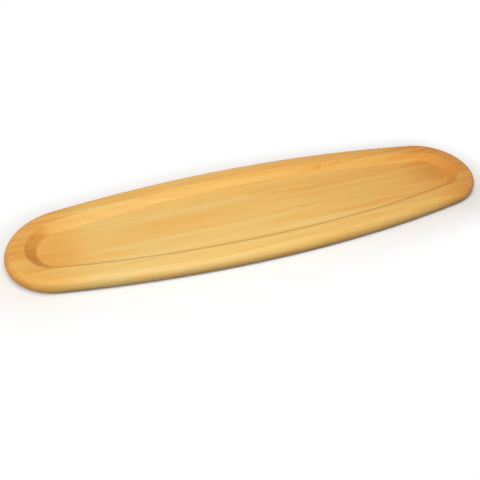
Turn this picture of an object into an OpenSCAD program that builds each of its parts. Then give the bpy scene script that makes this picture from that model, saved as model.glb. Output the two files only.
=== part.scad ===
// Oval serving board of solid beech: five staves glued edge to edge into a
// panel, shaped to an oval, and hollowed with a shallow well of sloping walls
// that leaves a flat rim all the way round.
//
// The board lies along X, its width is along Y, and it rests on z = 0 with its
// middle over the origin. Sizes are in millimetres.

/* [Board] */
// Length over the two round ends
board_l = 580; // [480:5:700]
// Width across the middle
board_w = 160; // [135:1:200]
// Thickness of the panel
board_t = 18; // [17:0.5:26]
// Radius of the round ends, which is less than half of the width
end_r = 60; // [50:1:65]

/* [Outer edge] */
// Radius of the upper edge
top_r = 9; // [3:0.5:9.5]
// Radius of the lower edge
under_r = 8; // [1:0.5:8.5]

/* [Well] */
// Width of the rim, from the outside to where it starts to turn down
rim_w = 21; // [16:0.5:26]
// Depth of the well's floor below the rim
well_d = 9; // [5:0.5:10]
// Slope of the wall, in degrees from level
wall_a = 42; // [35:1:55]
// Radius of the hollow cove between the wall and the floor
cove_r = 5; // [3:0.5:7]
// Radius of the lip between the rim and the wall
lip_r = 2.5; // [0.5:0.25:4]

/* [Staves] */
// Width of each of the three inner staves, the two outer ones taking the rest
stave_w = 32; // [24:1:40]
// Colour of the oiled wood
wood = "#e8bf77";

/* [Hidden] */

$fa = 2;
$fs = 0.6;
// Steps of a full turn on the long arcs of the sides
side_fn = 256;
// How far a cutting shape runs past what it cuts
past = 10;

// Outline: each side is one long arc, which meets the end arcs with no corner
half_w = board_w / 2;
end_x = board_l / 2 - end_r;
side_r = (end_x ^ 2 + half_w ^ 2 - end_r ^ 2) / (2 * (half_w - end_r));
// Angle between the Y axis and the line on which a side arc and an end arc meet
meet_a = atan2(end_x, side_r - half_w);
// A point on that line, outside the board
meet_out = [end_x, 0] + (half_w + past) * [sin(meet_a), cos(meet_a)];

// Section: x = 0 is the outside of the board and x runs outwards
floor_t = board_t - well_d;
// Square to the wall, out of the wood
wall_out = [-sin(wall_a), cos(wall_a)];
// Plan width of the straight part of the wall
wall_run = (well_d - (lip_r + cove_r) * (1 - wall_out.y)) / tan(wall_a);
// Centre of the lip's round, and of the cove
lip_c = [-rim_w, board_t - lip_r];
cove_c = [-rim_w + (lip_r + cove_r) * wall_out.x - wall_run, floor_t + cove_r];

// What a round of radius r takes off a square corner, with its centre at the origin
module corner_waste(r) {
  difference() {
    square(r + past);
    circle(r);
  }
}

// The well's section: flat floor, hollow cove, straight wall, and the lip rolling out of it
module well_section(reach) {
  mouth = board_t + past;
  translate([-reach - past, floor_t])
    square([cove_c.x + reach + past, mouth - floor_t]);
  intersection() {
    translate(cove_c) circle(cove_r);
    polygon([cove_c, cove_c - [0, 2 * cove_r], cove_c - 2 * cove_r * wall_out]);
  }
  difference() {
    polygon([
      [cove_c.x, mouth],
      cove_c,
      cove_c - cove_r * wall_out,
      lip_c + lip_r * wall_out,
      lip_c,
      [lip_c.x, mouth],
    ]);
    translate(lip_c) circle(lip_r);
  }
}

// The board's section, from its outside inwards as far as reach
module board_section(reach) {
  difference() {
    translate([-reach, 0]) square([reach, board_t]);
    translate([-top_r, board_t - top_r]) corner_waste(top_r);
    translate([-under_r, under_r]) mirror([0, 1]) corner_waste(under_r);
    well_section(reach);
  }
}

// A block over part of the plan, to trim the turned forms with
module plan_block(points) {
  translate([0, 0, -past])
    linear_extrude(board_t + 2 * past)
      polygon(points);
}

// The round end at +X: the section turned about the end arc's centre
module end_form() {
  intersection() {
    translate([end_x, 0, 0])
      rotate_extrude()
        translate([end_r, 0])
          board_section(end_r);
    plan_block([
      [end_x, 0],
      meet_out,
      [meet_out.x + board_w, 0],
      [meet_out.x, -meet_out.y],
    ]);
  }
}

// The half towards +Y of what lies between the ends: the section turned about the side arc's centre
module side_form() {
  intersection() {
    translate([0, half_w, 0])
      shift([0, -side_r, 0])
        rotate_extrude(angle = 4 * meet_a, start = 90 - 2 * meet_a, $fn = side_fn)
          shift([side_r, 0])
            board_section(half_w + past);
    plan_block([
      [-end_x, 0],
      [end_x, 0],
      meet_out,
      [-meet_out.x, meet_out.y],
    ]);
  }
}

// The flat middle under the well's floor, which laps into the two ends and the two sides
module floor_slab() {
  floor_end_r = end_r + cove_c.x;
  reach = [end_x + 0.4 * floor_end_r, 0.8 * floor_end_r];
  translate([-reach.x, -reach.y, 0])
    cube([2 * reach.x, 2 * reach.y, floor_t]);
}

// A move by whole millimetres and then by the rest, so that a long move keeps its fine digits
module shift(v) {
  whole = [for (d = v) floor(d)];
  translate(whole) translate(v - whole) children();
}

// What lies between two glue lines, which are planes along X
module between(y_from, y_to) {
  intersection() {
    children();
    translate([-board_l / 2 - past, y_from, -past])
      cube([board_l + 2 * past, y_to - y_from, board_t + 2 * past]);
  }
}

// One stave: its share of the floor, the two ends and the two sides
module stave(y_from, y_to) {
  color(wood) {
    between(y_from, y_to) floor_slab();
    for (half = [0, 1]) {
      between(y_from, y_to) mirror([half, 0, 0]) end_form();
      between(y_from, y_to) mirror([0, half, 0]) side_form();
    }
  }
}

// Glue lines, from the middle outwards
inner_glue = stave_w / 2;
outer_glue = inner_glue + stave_w;

module front_rim_stave() { stave(-half_w - past, -outer_glue); }
module front_stave() { stave(-outer_glue, -inner_glue); }
module centre_stave() { stave(-inner_glue, inner_glue); }
module rear_stave() { stave(inner_glue, outer_glue); }
module rear_rim_stave() { stave(outer_glue, half_w + past); }

front_rim_stave();
front_stave();
centre_stave();
rear_stave();
rear_rim_stave();
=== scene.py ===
"""Oval serving board of oiled beech.

Five staves are glued edge to edge into a panel, which has a shallow well inside a flat rim.
"""

from __future__ import annotations

import logging
import math
from dataclasses import dataclass
from enum import Enum
from typing import Any, Iterable, Optional, Union

import bmesh
import bpy
from mathutils import Matrix, Vector


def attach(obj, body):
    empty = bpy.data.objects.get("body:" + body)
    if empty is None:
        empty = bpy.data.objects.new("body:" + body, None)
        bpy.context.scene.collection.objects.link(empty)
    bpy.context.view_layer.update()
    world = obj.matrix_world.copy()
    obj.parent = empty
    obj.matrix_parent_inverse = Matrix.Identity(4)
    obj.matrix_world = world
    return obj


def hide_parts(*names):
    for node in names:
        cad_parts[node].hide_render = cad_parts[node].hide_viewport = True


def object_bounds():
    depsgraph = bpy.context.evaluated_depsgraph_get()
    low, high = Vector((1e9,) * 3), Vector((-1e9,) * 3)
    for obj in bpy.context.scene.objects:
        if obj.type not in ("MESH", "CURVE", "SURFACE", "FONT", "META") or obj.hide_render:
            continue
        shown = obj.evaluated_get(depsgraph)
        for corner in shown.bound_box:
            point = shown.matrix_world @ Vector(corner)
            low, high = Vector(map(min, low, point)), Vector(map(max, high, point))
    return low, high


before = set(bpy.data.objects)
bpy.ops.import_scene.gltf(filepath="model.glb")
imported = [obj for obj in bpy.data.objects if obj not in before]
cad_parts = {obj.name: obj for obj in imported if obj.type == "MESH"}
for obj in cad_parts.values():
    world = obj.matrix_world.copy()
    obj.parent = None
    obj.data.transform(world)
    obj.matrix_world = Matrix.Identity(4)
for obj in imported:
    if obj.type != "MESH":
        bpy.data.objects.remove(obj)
CAD_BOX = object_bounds()

MM = 0.001
# Points that are nearer to each other than this are one point
TOUCH = 1e-7
# Name of the mesh attribute that says how far a place faces along the fibres
END_GRAIN = "end_grain"

Point = tuple[float, float]
Span = tuple[float, float]
Place = tuple[float, float, float]
Colour = tuple[float, float, float]
WHITE: Colour = (1.0, 1.0, 1.0)

log = logging.getLogger("serving_board")


class Val:
    """A number that a node tree works out, so that Python's operators add its Math nodes."""

    def __init__(self, graph: Graph, socket: bpy.types.NodeSocket) -> None:
        """Keep the tree and the socket that gives the number."""
        self.graph = graph
        self.socket = socket

    def __add__(self, other: Operand) -> Val:
        """Sum."""
        return self.graph.math("ADD", self, other)

    def __radd__(self, other: Operand) -> Val:
        """Sum, with the number first."""
        return self.graph.math("ADD", other, self)

    def __sub__(self, other: Operand) -> Val:
        """Difference."""
        return self.graph.math("SUBTRACT", self, other)

    def __rsub__(self, other: Operand) -> Val:
        """Difference, with the number first."""
        return self.graph.math("SUBTRACT", other, self)

    def __mul__(self, other: Operand) -> Val:
        """Product."""
        return self.graph.math("MULTIPLY", self, other)

    def __rmul__(self, other: Operand) -> Val:
        """Product, with the number first."""
        return self.graph.math("MULTIPLY", other, self)

    def __truediv__(self, other: Operand) -> Val:
        """Quotient."""
        return self.graph.math("DIVIDE", self, other)

    def __rtruediv__(self, other: Operand) -> Val:
        """Quotient, with the number first."""
        return self.graph.math("DIVIDE", other, self)

    def __pow__(self, other: Operand) -> Val:
        """Power."""
        return self.graph.math("POWER", self, other)

    def __mod__(self, other: Operand) -> Val:
        """What a floored division leaves."""
        return self.graph.math("FLOORED_MODULO", self, other)

    def __abs__(self) -> Val:
        """Size without its sign."""
        return self.graph.math("ABSOLUTE", self)

    def floor(self) -> Val:
        """Whole number below."""
        return self.graph.math("FLOOR", self)

    def fraction(self) -> Val:
        """What is left over the whole number below."""
        return self.graph.math("FRACT", self)

    def less(self, other: Operand) -> Val:
        """1 where the number is less than the other, else 0."""
        return self.graph.math("LESS_THAN", self, other)

    def clamp(self) -> Val:
        """The number held between 0 and 1."""
        return self.graph.math("MINIMUM", self.graph.math("MAXIMUM", self, 0.0), 1.0)

    def band(self, low: float, high: float) -> Val:
        """Smooth rise from 0 at low to 1 at high, where low may be the greater of the two."""
        t = ((self - low) / (high - low)).clamp()
        return t * t * (3.0 - 2.0 * t)


Operand = Union[Val, float]
Wired = Union[Val, bpy.types.NodeSocket, float, tuple, list]
Settings = Optional[dict[str, Any]]
Inputs = Optional[dict[Union[str, int], Wired]]


class Graph:
    """A node tree under construction, of a material, a world or a Geometry Nodes group."""

    def __init__(self, tree: bpy.types.NodeTree) -> None:
        """Keep the tree that the nodes go into."""
        self.tree = tree

    def wire(self, target: bpy.types.NodeSocket, value: Wired) -> None:
        """Link a socket to what feeds it, or set its value.

        Args:
            target: Input socket.
            value: A number, a plain value, an output socket, or a list of output sockets.
        """
        if isinstance(value, list):
            for one in value:
                self.wire(target, one)
        elif isinstance(value, Val):
            self.tree.links.new(value.socket, target)
        elif isinstance(value, bpy.types.NodeSocket):
            self.tree.links.new(value, target)
        else:
            target.default_value = value

    def node(self, kind: str, settings: Settings = None, inputs: Inputs = None) -> bpy.types.Node:
        """Add one node.

        Args:
            kind: Blender's name of the node's type.
            settings: Properties, which are set first. The key "stops" holds a ramp's (place, colour) pairs.
            inputs: Values or links of its sockets, by name or number.

        Returns:
            The node.
        """
        made = self.tree.nodes.new(kind)
        for key, value in (settings or {}).items():
            if key == "stops":
                self._set_stops(made.color_ramp, value)
            else:
                setattr(made, key, value)
        for key, value in (inputs or {}).items():
            self.wire(made.inputs[key], value)
        return made

    @staticmethod
    def _set_stops(ramp: bpy.types.ColorRamp, stops: Iterable[tuple[float, Colour]]) -> None:
        """Give a colour ramp its stops.

        Args:
            ramp: The ramp of a Color Ramp node.
            stops: Place and colour of each stop, in rising order.
        """
        listed = list(stops)
        while len(ramp.elements) < len(listed):
            ramp.elements.new(1.0)
        for element, (place, colour) in zip(ramp.elements, listed):
            element.position = place
            element.color = (*colour, 1.0)

    def value(
        self, kind: str, output: Union[str, int], settings: Settings = None, inputs: Inputs = None
    ) -> Val:
        """Add one node and take a number from it.

        Args:
            kind: Blender's name of the node's type.
            output: Name or number of the output socket.
            settings: As for node().
            inputs: As for node().

        Returns:
            That output as a number to work with.
        """
        return Val(self, self.node(kind, settings, inputs).outputs[output])

    def math(self, operation: str, *operands: Operand) -> Val:
        """Add one Math node.

        Args:
            operation: Blender's name of the operation.
            operands: Its one or two numbers.

        Returns:
            The result.
        """
        return self.value("ShaderNodeMath", 0, {"operation": operation}, dict(enumerate(operands)))

    def vector(self, operation: str, a: Wired, b: Wired) -> bpy.types.NodeSocket:
        """Add one Vector Math node.

        Args:
            operation: Blender's name of the operation.
            a: First vector.
            b: Second vector.

        Returns:
            The resulting vector's socket.
        """
        return self.node("ShaderNodeVectorMath", {"operation": operation}, {0: a, 1: b}).outputs[0]

    def split(self, vector: bpy.types.NodeSocket) -> tuple[Val, Val, Val]:
        """Part a vector into its three numbers."""
        parts = self.node("ShaderNodeSeparateXYZ", None, {0: vector}).outputs
        return Val(self, parts[0]), Val(self, parts[1]), Val(self, parts[2])

    def joined(self, x: Operand, y: Operand, z: Operand) -> bpy.types.NodeSocket:
        """Make a vector of three numbers."""
        return self.node("ShaderNodeCombineXYZ", None, {0: x, 1: y, 2: z}).outputs[0]


class OvalSkin:
    """The Geometry Nodes group that turns a section round an oval and closes the two flats inside it.

    The section is a chain of points: X is the inset from the outline and Z is the height. Steps round the
    oval run along the end arc at +X, the side arc at +Y, the end arc at -X and the side arc at -Y.
    """

    COUNTS = ("End Steps", "Side Steps")
    LENGTHS = ("End Centre", "End Radius", "Side Radius", "Half Width")
    # Keeps a whole quotient from being rounded down
    NUDGE = 1e-4
    # Points that are nearer to each other than this are merged
    WELD = 2e-6

    def __init__(self) -> None:
        """Make the group with its named inputs, and fill it."""
        self.tree = bpy.data.node_groups.new("oval_skin", "GeometryNodeTree")
        kinds = {"Section": "NodeSocketGeometry", "Material": "NodeSocketMaterial"}
        kinds |= {name: "NodeSocketInt" for name in self.COUNTS}
        kinds |= {name: "NodeSocketFloat" for name in self.LENGTHS}
        face = self.tree.interface
        self.identifiers = {
            name: face.new_socket(name=name, in_out="INPUT", socket_type=kind).identifier
            for name, kind in kinds.items()
        }
        face.new_socket(name="Skin", in_out="OUTPUT", socket_type="NodeSocketGeometry")
        self.g = g = Graph(self.tree)
        self.given = g.node("NodeGroupInput").outputs
        self.index = g.value("GeometryNodeInputIndex", 0)
        self.spot = g.node("GeometryNodeInputPosition").outputs[0]
        self.ends, self.sides = (Val(g, self.given[name]) for name in self.COUNTS)
        self.end_x, self.end_r, self.side_r, self.half_w = (Val(g, self.given[n]) for n in self.LENGTHS)
        self.half_turn = self.ends + self.sides
        # Angle between the Y axis and the line on which a side arc and an end arc meet
        self.meet = g.math("ARCTAN2", self.end_x, self.side_r - self.half_w)
        self.opening = math.pi / 2 - self.meet
        self._fill()

    def _fill(self) -> None:
        """Add the nodes that make the turned skin and the two flats, join them and dress them."""
        g = self.g
        section = {0: self.given["Section"]}
        count = g.value("GeometryNodeAttributeDomainSize", "Point Count", {"component": "MESH"}, section)
        inset, height = self._sampled(self.index % count)
        x, y = self._outline((self.index / count + self.NUDGE).floor(), inset)
        shells = [self._grid(2.0 * self.half_turn + 1.0, count, g.joined(x, y, height))]
        for flat_edge in (0, count - 1.0):
            inset, height = self._sampled(flat_edge)
            x, y = self._outline((self.index / 2.0 + self.NUDGE).floor() + self.ends / 2.0, inset)
            across = 2.0 * (self.index % 2.0) - 1.0
            shells.append(self._grid(self.half_turn + 1.0, 2, g.joined(x, y * across, height)))
        whole = g.node("GeometryNodeJoinGeometry", None, {0: shells}).outputs[0]
        weld = {"Geometry": whole, "Distance": self.WELD}
        closed = g.node("GeometryNodeMergeByDistance", None, weld).outputs[0]
        plain = g.node("GeometryNodeRealizeInstances", None, {0: closed}).outputs[0]
        dress = {"Geometry": plain, "Material": self.given["Material"]}
        dressed = g.node("GeometryNodeSetMaterial", None, dress).outputs[0]
        g.node("NodeGroupOutput", None, {0: dressed})

    def _sampled(self, at: Operand) -> tuple[Val, Val]:
        """Take one point of the section.

        Args:
            at: Its number in the chain.

        Returns:
            Its inset and its height.
        """
        taken = self.g.node(
            "GeometryNodeSampleIndex",
            {"data_type": "FLOAT_VECTOR", "domain": "POINT"},
            {"Geometry": self.given["Section"], "Value": self.spot, "Index": at},
        )
        inset, _, height = self.g.split(taken.outputs[0])
        return inset, height

    def _outline(self, step: Val, inset: Val) -> tuple[Val, Val]:
        """Find a place on the oval.

        Args:
            step: Steps round the oval.
            inset: How far inside the outline it lies.

        Returns:
            Its X and Y.
        """
        turn = (step / self.half_turn).floor()
        done = step - turn * self.half_turn
        on_end = done.less(self.ends)
        end_angle = self.opening * (2.0 * done / self.ends - 1.0)
        side_angle = self.opening + 2.0 * self.meet * (done - self.ends) / self.sides
        angle = on_end * end_angle + (1.0 - on_end) * side_angle + math.pi * turn
        sign = 1.0 - 2.0 * (turn % 2.0)
        radius = on_end * self.end_r + (1.0 - on_end) * self.side_r - inset
        x = on_end * sign * self.end_x + radius * self.g.math("COSINE", angle)
        y = (on_end - 1.0) * sign * (self.side_r - self.half_w) + radius * self.g.math("SINE", angle)
        return x, y

    def _grid(self, columns: Operand, rows: Operand, place: bpy.types.NodeSocket) -> bpy.types.NodeSocket:
        """Make a grid and move its points.

        Args:
            columns: Points along the grid.
            rows: Points across the grid.
            place: Where each point goes, worked out from its index.

        Returns:
            The grid's socket.
        """
        flat = self.g.node("GeometryNodeMeshGrid", None, {"Vertices X": columns, "Vertices Y": rows})
        move = {"Geometry": flat.outputs[0], "Position": place}
        return self.g.node("GeometryNodeSetPosition", None, move).outputs[0]


@dataclass
class OvalBoard:
    """The whole board before it is parted into staves.

    Sizes are in metres, and the slope of the well's wall is in degrees from level.
    """

    length: float
    width: float
    thickness: float
    end_radius: float = 60 * MM
    top_radius: float = 9 * MM
    under_radius: float = 8 * MM
    rim: float = 21 * MM
    depth: float = 9 * MM
    wall_slope: float = 42.0
    cove: float = 5 * MM
    lip: float = 2.5 * MM
    end_steps: int = 96
    side_steps: int = 140
    cove_steps: int = 10
    lip_steps: int = 8
    top_steps: int = 16
    under_steps: int = 14

    @classmethod
    def filling(cls, box: Iterable[Iterable[float]]) -> OvalBoard:
        """The board that fills a box, given as its lowest and highest corner."""
        low, high = box
        return cls(*(top - bottom for bottom, top in zip(low, high)))

    @property
    def half_width(self) -> float:
        """Half of the board's width."""
        return self.width / 2

    @property
    def end_centre(self) -> float:
        """How far the end arcs' centres are from the middle."""
        return self.length / 2 - self.end_radius

    @property
    def side_radius(self) -> float:
        """Radius of the long side arcs, which run into the end arcs."""
        rise = self.half_width - self.end_radius
        return (self.end_centre**2 + self.half_width**2 - self.end_radius**2) / (2 * rise)

    def section(self) -> list[Point]:
        """Follow the skin across the rim, from the foot of the cove to the flat underside.

        Returns:
            Points (inset from the outline, height).
        """
        floor = self.thickness - self.depth
        both = self.cove + self.lip
        slope = math.radians(self.wall_slope)
        run = (self.depth - both * (1.0 - math.cos(slope))) / math.tan(slope)
        foot = self.rim + both * math.sin(slope) + run
        wall = self.wall_slope
        under, top, lip, cove = self.under_radius, self.top_radius, self.lip, self.cove
        points = self._arc(foot, floor + cove, cove, -90.0, wall - 90.0, self.cove_steps)
        points += self._arc(self.rim, self.thickness - lip, lip, wall + 90.0, 90.0, self.lip_steps)
        points += self._arc(top, self.thickness - top, top, 90.0, 0.0, self.top_steps)
        points += self._arc(under, under, under, 0.0, -90.0, self.under_steps)
        return [p for i, p in enumerate(points) if i == 0 or math.dist(p, points[i - 1]) > TOUCH]

    @staticmethod
    def _arc(
        inset: float, height: float, radius: float, start: float, end: float, steps: int
    ) -> list[Point]:
        """Points of one arc of the section.

        Args:
            inset: Inset of its centre from the outline.
            height: Height of its centre.
            radius: Its radius.
            start: First angle in degrees, where 0 points outwards and 90 points up.
            end: Last angle.
            steps: Number of steps.

        Returns:
            Points (inset, height), both ends included.
        """
        turns = [math.radians(start + (end - start) * i / steps) for i in range(steps + 1)]
        return [(inset - radius * math.cos(t), height + radius * math.sin(t)) for t in turns]

    def skin(self, material: bpy.types.Material) -> bpy.types.Mesh:
        """Make the closed skin of the whole board.

        Args:
            material: Finish for the mesh to start with.

        Returns:
            A plain mesh.
        """
        chain = bpy.data.meshes.new("section")
        points = [(inset, 0.0, height) for inset, height in self.section()]
        chain.from_pydata(points, [(i, i + 1) for i in range(len(points) - 1)], [])
        carrier = bpy.data.objects.new("section", chain)
        bpy.context.scene.collection.objects.link(carrier)
        group = OvalSkin()
        modifier = carrier.modifiers.new("oval_skin", "NODES")
        modifier.node_group = group.tree
        for name, value in (
            ("End Steps", self.end_steps),
            ("Side Steps", self.side_steps),
            ("End Centre", self.end_centre),
            ("End Radius", self.end_radius),
            ("Side Radius", self.side_radius),
            ("Half Width", self.half_width),
            ("Material", material),
        ):
            modifier[group.identifiers[name]] = value
        graph = bpy.context.evaluated_depsgraph_get()
        made = bpy.data.meshes.new_from_object(carrier.evaluated_get(graph), depsgraph=graph)
        carrier.modifiers.remove(modifier)
        bpy.data.objects.remove(carrier)
        bpy.data.meshes.remove(chain)
        return made


class Cut(Enum):
    """How a stave was sawn from its log, as the place of the pith beside it in metres (across, up)."""

    FLAT = (0.009, -0.072)
    RIFT = (0.058, -0.060)
    QUARTER = (0.096, -0.012)


@dataclass(frozen=True)
class Streaks:
    """Noise drawn out along the fibres, in waves to the metre along and across them."""

    along: float
    across: float
    detail: float

    def node(self, g: Graph, way: bpy.types.NodeSocket) -> bpy.types.Node:
        """Add the noise's node.

        Args:
            g: Tree of the material.
            way: Place along the fibres.

        Returns:
            The node.
        """
        scaled = g.vector("MULTIPLY", way, (self.along, self.across, self.across))
        return g.node("ShaderNodeTexNoise", None, {"Vector": scaled, "Scale": 1.0, "Detail": self.detail})

    def swing(self, g: Graph, way: bpy.types.NodeSocket) -> Val:
        """The noise as a number that swings evenly to both sides of 0."""
        return Val(g, self.node(g, way).outputs[0]) - 0.5


@dataclass(frozen=True)
class Shares:
    """How much each feature of the wood adds to one side of its look."""

    clouds: float = 0.0
    bands: float = 0.0
    fibres: float = 0.0
    late_wood: float = 0.0
    flecks: float = 0.0
    glue: float = 0.0
    end_grain: float = 0.0


@dataclass(frozen=True)
class OiledBeech:
    """Beech under a satin oil, with the growth rings, fibres and flecks of one stave.

    The wood's tone runs from 0, straw, to 1, brown. Lengths are in metres. Slope is how far the fibres run
    off the board's length, in degrees. A span gives where a smooth rise starts and where it is full.
    """

    # What differs from stave to stave
    name: str
    cut: Cut
    flipped: bool = False
    tone: float = 0.0
    along: float = 0.0
    slope: float = 0.0

    # Colours, and the tone that each stands at
    straw: Colour = (0.82, 0.600, 0.245)
    pale: Colour = (0.81, 0.535, 0.175)
    honey: Colour = (0.80, 0.460, 0.120)
    amber: Colour = (0.76, 0.365, 0.080)
    brown: Colour = (0.67, 0.290, 0.055)
    tone_stops: tuple[float, ...] = (0.0, 0.25, 0.50, 0.78, 1.0)

    # What follows the fibres, and how far they drift
    drift: Streaks = Streaks(along=3.2, across=14.0, detail=2.0)
    drift_length: float = 9 * MM
    clouds: Streaks = Streaks(along=7.0, across=16.0, detail=1.0)
    bands: Streaks = Streaks(along=4.5, across=170.0, detail=3.0)
    fibres: Streaks = Streaks(along=16.0, across=1150.0, detail=2.0)

    # Growth rings, and the noise in waves to the metre that makes them uneven
    ring_width: float = 2.4 * MM
    ring_noise: float = 170.0
    ring_spread: float = 1.6
    ring_sharpness: float = 3.0
    ring_end: Span = (1.0, 0.90)

    # Dark flecks, to the metre
    flecks_along: float = 240.0
    flecks_across: float = 1250.0
    fleck_edge: Span = (0.45, 0.12)
    fleck_chance: Span = (0.45, 0.85)

    # Glue line and end grain, which shows the rings and hides some of the figure
    glue_line: float = 0.16 * MM
    end_grain: Span = (0.20, 0.70)
    end_rings: float = 0.20
    end_hides: float = 0.70

    # Deeper tone at both ends, and painted shade in the half at +X and for each metre along the board,
    # which deepens the tone towards +X as the light falls off
    deep_ends: Span = (0.185, 0.258)
    end_deepening: float = 0.41
    painted_shade_span: Span = (0.05, 0.25)
    painted_shade_depth: float = 0.13
    painted_shade_slope: float = 0.30

    # Tone, roughness, gloss and relief
    mean_tone: float = 0.34
    in_tone: Shares = Shares(
        clouds=0.30, bands=0.75, fibres=0.36, late_wood=0.26, flecks=0.22, glue=0.35, end_grain=0.18
    )
    satin: float = 0.42
    in_roughness: Shares = Shares(bands=0.06, fibres=0.14, end_grain=0.10)
    gloss: float = 0.15
    in_relief: Shares = Shares(fibres=0.55, late_wood=0.25, flecks=-0.45, glue=-0.60)
    relief_depth: float = 0.25 * MM
    relief_strength: float = 0.22

    def material(self, y_from: float, y_to: float) -> bpy.types.Material:
        """Make the stave's material.

        Args:
            y_from: Glue line or outside towards -Y.
            y_to: Glue line or outside towards +Y.

        Returns:
            The material.
        """
        made = bpy.data.materials.new(self.name)
        made.use_nodes = True
        made.node_tree.nodes.clear()
        g = Graph(made.node_tree)
        here = g.node("ShaderNodeTexCoord").outputs["Object"]
        grain, way = self._ways(g, here, (y_from + y_to) / 2)
        late = self._rings(g, way)
        cloud = self.clouds.swing(g, grain)
        band = self.bands.swing(g, way)
        fibre = self.fibres.swing(g, way)
        fleck = self._flecks(g, way)
        glue = self._glue(g, here, y_from, y_to)
        end = g.value("ShaderNodeAttribute", "Fac", {"attribute_name": END_GRAIN}).band(*self.end_grain)

        share = self.in_tone
        figure = share.bands * band + share.fibres * fibre + share.late_wood * late + share.flecks * fleck
        tone = self.mean_tone + self.tone + share.clouds * cloud + figure * (1.0 - self.end_hides * end)
        tone = tone + end * (share.end_grain + self.end_rings * late)
        # The ends deepen the tone here, and painted shade deepens it towards +X
        tone = tone + self._ends_and_painted_shade(g, here) + share.glue * glue
        share = self.in_roughness
        rough = self.satin + share.fibres * fibre + share.bands * band + share.end_grain * end
        share = self.in_relief
        relief = share.fibres * fibre + share.late_wood * late + share.flecks * fleck + share.glue * glue

        bump = {"Strength": self.relief_strength, "Distance": self.relief_depth, "Height": relief}
        look = {
            "Base Color": self._colour(g, tone),
            "Roughness": rough,
            "Normal": g.node("ShaderNodeBump", None, bump).outputs["Normal"],
            "Specular IOR Level": self.gloss,
        }
        shader = g.node("ShaderNodeBsdfPrincipled", None, look).outputs[0]
        g.node("ShaderNodeOutputMaterial", None, {"Surface": shader})
        return made

    def _ways(
        self, g: Graph, here: bpy.types.NodeSocket, middle: float
    ) -> tuple[bpy.types.NodeSocket, bpy.types.NodeSocket]:
        """Turn a place on the board into a place in the log.

        Args:
            g: Tree of the material.
            here: Place on the board.
            middle: Y of the stave's middle.

        Returns:
            The place along straight fibres, and the place along fibres that drift.
        """
        turned = {
            "Vector": here,
            "Location": (self.along, -middle, 0.0),
            "Rotation": (0.0, math.radians(self.slope / 2), math.radians(self.slope)),
        }
        grain = g.node("ShaderNodeMapping", None, turned).outputs[0]
        drift = g.vector("SUBTRACT", self.drift.node(g, grain).outputs["Color"], (0.5, 0.5, 0.5))
        drift = g.vector("MULTIPLY", drift, (0.0, self.drift_length, self.drift_length))
        return grain, g.vector("ADD", grain, drift)

    def _colour(self, g: Graph, tone: Val) -> bpy.types.NodeSocket:
        """The colour of the wood.

        Args:
            g: Tree of the material.
            tone: Tone from 0 to 1, past which it is held.

        Returns:
            The colour's socket.
        """
        stops = zip(self.tone_stops, (self.straw, self.pale, self.honey, self.amber, self.brown))
        return g.node("ShaderNodeValToRGB", {"stops": stops}, {"Fac": tone.clamp()}).outputs["Color"]

    def _ends_and_painted_shade(self, g: Graph, here: bpy.types.NodeSocket) -> Val:
        """The deeper tone at both ends, and painted shade that pales the tone towards -X and deepens it
        towards +X, where less light falls.

        Args:
            g: Tree of the material.
            here: Place on the board.

        Returns:
            What the ends and the painted shade add to the tone.
        """
        x, _, _ = g.split(here)
        ends = self.end_deepening * abs(x).band(*self.deep_ends)
        # The ends deepen the tone; the rest is painted shade, which deepens it towards +X where the light
        # falls off
        return ends + self.painted_shade_depth * x.band(*self.painted_shade_span) + self.painted_shade_slope * x

    def _rings(self, g: Graph, way: bpy.types.NodeSocket) -> Val:
        """Growth rings round the pith.

        Args:
            g: Tree of the material.
            way: Place along the fibres.

        Returns:
            0 in early wood, rising to 1 at the end of each ring.
        """
        across, up = self.cut.value
        _, y, z = g.split(way)
        y = y - (-across if self.flipped else across)
        z = z - up
        out = (y * y + z * z) ** 0.5
        years = {"W": out * self.ring_noise, "Scale": 1.0}
        uneven = g.value("ShaderNodeTexNoise", 0, {"noise_dimensions": "1D"}, years)
        ring = (out / self.ring_width + self.ring_spread * uneven).fraction()
        return ring**self.ring_sharpness * ring.band(*self.ring_end)

    def _flecks(self, g: Graph, way: bpy.types.NodeSocket) -> Val:
        """The short dark dashes that beech has along its fibres.

        Args:
            g: Tree of the material.
            way: Place along the fibres.

        Returns:
            1 in a dash, 0 outside.
        """
        scaled = g.vector("MULTIPLY", way, (self.flecks_along, self.flecks_across, self.flecks_across))
        cells = g.node("ShaderNodeTexVoronoi", None, {"Vector": scaled, "Scale": 1.0}).outputs
        chance, _, _ = g.split(cells["Color"])
        return Val(g, cells["Distance"]).band(*self.fleck_edge) * chance.band(*self.fleck_chance)

    def _glue(self, g: Graph, here: bpy.types.NodeSocket, y_from: float, y_to: float) -> Val:
        """The hairline where the stave meets its neighbour.

        Args:
            g: Tree of the material.
            here: Place on the board.
            y_from: Glue line or outside towards -Y.
            y_to: Glue line or outside towards +Y.

        Returns:
            1 on the line, 0 away from it.
        """
        _, y, _ = g.split(here)
        nearest = g.math("MINIMUM", abs(y - y_from), abs(y - y_to))
        return nearest.band(self.glue_line, 0.0)


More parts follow.
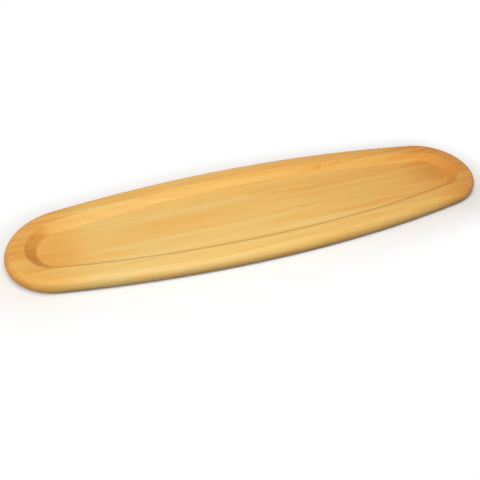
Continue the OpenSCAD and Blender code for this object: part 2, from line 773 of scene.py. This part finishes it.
@dataclass
class Stave:
    """One strip of the panel between two glue lines, or between a glue line and the outside."""

    node: str
    y_from: float
    y_to: float
    finish: OiledBeech

    def build(self, skin: bpy.types.Mesh) -> bpy.types.Object:
        """Part the stave from the board's skin, close its glued edges and dress it.

        Args:
            skin: Closed skin of the whole board.

        Returns:
            The finished piece, which stands for the CAD node of the same stave.
        """
        bm = bmesh.new()
        bm.from_mesh(skin)
        bmesh.ops.recalc_face_normals(bm, faces=bm.faces)
        layer = bm.verts.layers.float.new(END_GRAIN)
        bm.normal_update()
        for vertex in bm.verts:
            vertex[layer] = abs(vertex.normal.x)
        for one in bm.faces:
            one.smooth = True
        self._part(bm, self.y_from, -1.0)
        self._part(bm, self.y_to, 1.0)
        bmesh.ops.recalc_face_normals(bm, faces=bm.faces)
        mesh = bpy.data.meshes.new(self.node + "_wood")
        bm.to_mesh(mesh)
        bm.free()
        mesh.materials.clear()
        mesh.materials.append(self.finish.material(self.y_from, self.y_to))
        piece = bpy.data.objects.new(self.node + "_wood", mesh)
        bpy.context.scene.collection.objects.link(piece)
        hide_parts(self.node)
        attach(piece, "root")
        return piece

    @staticmethod
    def _part(bm: bmesh.types.BMesh, y: float, side: float) -> None:
        """Take away what lies past a glue line and close the cut with a flat face.

        Args:
            bm: Mesh to part.
            y: Place of the glue line.
            side: 1 to take away what lies towards +Y, -1 for -Y.
        """
        slack = 1e-6
        if max(v.co.y * side for v in bm.verts) <= y * side + slack:
            return
        bmesh.ops.bisect_plane(
            bm,
            geom=list(bm.verts) + list(bm.edges) + list(bm.faces),
            dist=TOUCH,
            plane_co=(0.0, y, 0.0),
            plane_no=(0.0, side, 0.0),
            clear_outer=True,
        )
        rims = [e for e in bm.edges if e.is_boundary]
        made = bmesh.ops.holes_fill(bm, edges=rims, sides=0)
        for cap in made["faces"]:
            cap.smooth = False
        for edge in rims:
            edge.smooth = False


@dataclass
class Panel:
    """The glued panel: its form, its glue lines and the staves between them."""

    form: OvalBoard
    stave_width: float = 32 * MM

    def staves(self) -> list[Stave]:
        """List the staves, each with its own wood.

        Returns:
            The staves from the front to the rear.
        """
        inner = self.stave_width / 2
        outer = inner + self.stave_width
        edge = self.form.half_width
        front_rim = OiledBeech("beech_front_rim", Cut.RIFT, True, tone=-0.14, along=0.13, slope=0.5)
        front = OiledBeech("beech_front", Cut.FLAT, False, tone=-0.11, along=1.71, slope=-0.4)
        centre = OiledBeech("beech_centre", Cut.QUARTER, False, tone=0.0, along=3.32, slope=0.3)
        rear = OiledBeech("beech_rear", Cut.FLAT, True, tone=-0.03, along=5.27, slope=0.6)
        rear_rim = OiledBeech("beech_rear_rim", Cut.RIFT, False, tone=0.15, along=7.45, slope=-0.5)
        return [
            Stave("front_rim_stave", -edge, -outer, front_rim),
            Stave("front_stave", -outer, -inner, front),
            Stave("centre_stave", -inner, inner, centre),
            Stave("rear_stave", inner, outer, rear),
            Stave("rear_rim_stave", outer, edge, rear_rim),
        ]

    def build(self) -> list[bpy.types.Object]:
        """Build every stave.

        Returns:
            The finished pieces.
        """
        plain = bpy.data.materials.new("bare_wood")
        skin = self.form.skin(plain)
        pieces = [stave.build(skin) for stave in self.staves()]
        bpy.data.meshes.remove(skin)
        bpy.data.materials.remove(plain)
        return pieces


@dataclass(frozen=True)
class Lamp:
    """One square area lamp. Lengths are in metres, its power is in watts."""

    name: str
    place: Place
    aim: Place
    size: float
    watts: float
    colour: Colour = WHITE

    def build(self) -> None:
        """Hang the lamp and turn it towards its aim."""
        data = bpy.data.lights.new(self.name, "AREA")
        data.size = self.size
        data.energy = self.watts
        data.color = self.colour
        made = bpy.data.objects.new(self.name, data)
        way = Vector(self.aim) - Vector(self.place)
        turn = way.to_track_quat("-Z", "Y").to_matrix().to_4x4()
        made.matrix_world = Matrix.Translation(self.place) @ turn
        bpy.context.scene.collection.objects.link(made)


@dataclass
class Studio:
    """Pale floor, soft lights and the camera. Lengths are in metres, angles in degrees.

    The bow tells about how far the board's long sides draw in at one metre from the middle.
    """

    form: OvalBoard
    azimuth: float = -19.935
    elevation: float = 44.268
    roll: float = 1.788
    distance: float = 0.51645
    aim: Place = (-0.04215, -0.03696, 0.0)
    focal_pixels: float = 453.68
    frame_pixels: int = 480
    sensor_mm: float = 36.0
    nearest_seen: float = 0.01
    floor_reach: float = 4.0
    side_bow: float = 0.37
    shadow_reach: float = 0.05
    floor_pale: Colour = (0.95, 0.95, 0.95)
    floor_dull: Colour = (0.08, 0.07, 0.06)
    air_colour: Colour = (1.0, 0.80, 0.60)
    air_strength: float = 0.12

    def camera(self) -> None:
        """Set the camera at the photograph's angle."""
        az = math.radians(self.azimuth)
        el = math.radians(self.elevation)
        tilt = math.radians(self.roll)
        back = Vector((math.sin(az) * math.cos(el), -math.cos(az) * math.cos(el), math.sin(el)))
        level_right = Vector((math.cos(az), math.sin(az), 0.0))
        level_up = back.cross(level_right)
        right = math.cos(tilt) * level_right + math.sin(tilt) * level_up
        up = math.cos(tilt) * level_up - math.sin(tilt) * level_right
        data = bpy.data.cameras.new("camera")
        data.sensor_width = self.sensor_mm
        data.sensor_fit = "HORIZONTAL"
        data.lens = self.sensor_mm * self.focal_pixels / self.frame_pixels
        data.clip_start = self.nearest_seen
        made = bpy.data.objects.new("camera", data)
        turn = Matrix((right, up, back)).transposed().to_4x4()
        made.matrix_world = Matrix.Translation(Vector(self.aim) + self.distance * back) @ turn
        bpy.context.scene.collection.objects.link(made)
        bpy.context.scene.camera = made

    def floor(self) -> None:
        """Lay the floor, which is seen as white, but near the board as pale with its shadow."""
        far = self.floor_reach
        mesh = bpy.data.meshes.new("floor")
        corners = [(-far, -far, 0.0), (far, -far, 0.0), (far, far, 0.0), (-far, far, 0.0)]
        mesh.from_pydata(corners, [], [(0, 1, 2, 3)])
        made = bpy.data.objects.new("floor", mesh)
        bpy.context.scene.collection.objects.link(made)
        material = bpy.data.materials.new("pale_floor")
        material.use_nodes = True
        material.node_tree.nodes.clear()
        g = Graph(material.node_tree)
        seen = self._seen(g)
        # The first two colours of a Mix node that mixes colours are its inputs 6 and 7
        tones = {0: seen, 6: (*self.floor_dull, 1.0), 7: (*self.floor_pale, 1.0)}
        colour = g.node("ShaderNodeMix", {"data_type": "RGBA"}, tones).outputs[2]
        matt = g.node("ShaderNodeBsdfDiffuse", None, {"Color": colour}).outputs[0]
        white = g.node("ShaderNodeEmission", None, {"Color": (*WHITE, 1.0), "Strength": 1.0}).outputs[0]
        away = self._gap(g).band(0.0, self.shadow_reach)
        mixed = g.node("ShaderNodeMixShader", None, {0: seen * away, 1: matt, 2: white}).outputs[0]
        g.node("ShaderNodeOutputMaterial", None, {"Surface": mixed})
        mesh.materials.append(material)

    def _gap(self, g: Graph) -> Val:
        """How far a place on the floor is from the board.

        Args:
            g: Tree of the floor's material.

        Returns:
            About the distance from the board's outline, which is less than 0 under the board.
        """
        end = self.form.end_centre
        x, y, _ = g.split(g.node("ShaderNodeTexCoord").outputs["Object"])
        past_end = g.math("MAXIMUM", abs(x) - end, 0.0)
        before_end = g.math("MINIMUM", abs(x), end)
        drawn_in = self.side_bow * before_end * before_end
        return (past_end * past_end + y * y) ** 0.5 - self.form.half_width + drawn_in

    @staticmethod
    def _seen(g: Graph) -> Val:
        """Tell the rays that show the floor and the background to the eye from those that light the board.

        Args:
            g: Tree of a material or of the world.

        Returns:
            1 for the rays that the eye sees, also in a mirror or through glass, and 0 for the others.
        """
        rays = g.node("ShaderNodeLightPath").outputs
        straight, mirrored, passed = (
            Val(g, rays[kind]) for kind in ("Is Camera Ray", "Is Glossy Ray", "Is Transmission Ray")
        )
        return (straight + mirrored + passed).clamp()

    def lights(self) -> None:
        """Light the board from a window at the front left, with weaker lamps above and on two sides."""
        middle = (0.0, 0.0, 0.0)
        cool, warm = (0.95, 1.0, 1.10), (1.0, 0.86, 0.64)
        for lamp in (
            Lamp("window", (-2.4, -1.5, 3.2), aim=middle, size=1.60, watts=92.0),
            Lamp("key", (-0.07, -0.24, 0.55), aim=(-0.07, 0.0, 0.0), size=0.26, watts=1.4),
            Lamp("front", (-0.05, -1.10, 0.60), aim=(0.0, -0.05, 0.0), size=0.60, watts=2.4, colour=cool),
            Lamp("top", (0.0, 0.10, 1.6), aim=middle, size=1.0, watts=2.6, colour=warm),
            Lamp("rear", (0.35, 1.15, 0.45), aim=(0.0, 0.05, 0.0), size=0.80, watts=0.7),
        ):
            lamp.build()

    def air(self) -> None:
        """Fill the world with a weak warm light, and show it as white."""
        world = bpy.data.worlds.new("studio")
        world.use_nodes = True
        world.node_tree.nodes.clear()
        g = Graph(world.node_tree)
        dim = {"Color": (*self.air_colour, 1.0), "Strength": self.air_strength}
        light = g.node("ShaderNodeBackground", None, dim).outputs[0]
        view = g.node("ShaderNodeBackground", None, {"Color": (*WHITE, 1.0), "Strength": 1.0}).outputs[0]
        both = g.node("ShaderNodeMixShader", None, {0: self._seen(g), 1: light, 2: view}).outputs[0]
        g.node("ShaderNodeOutputWorld", None, {"Surface": both})
        bpy.context.scene.world = world

    def build(self) -> None:
        """Set up the whole studio."""
        self.camera()
        self.floor()
        self.lights()
        self.air()
        bpy.context.scene.view_settings.view_transform = "Standard"


def main() -> None:
    """Build the studio and the staves."""
    logging.basicConfig(level=logging.INFO, format="%(message)s")
    form = OvalBoard.filling(CAD_BOX)
    Studio(form).build()
    for piece in Panel(form).build():
        log.info("%s: %d faces", piece.name, len(piece.data.polygons))


if __name__ == "__main__":
    main()
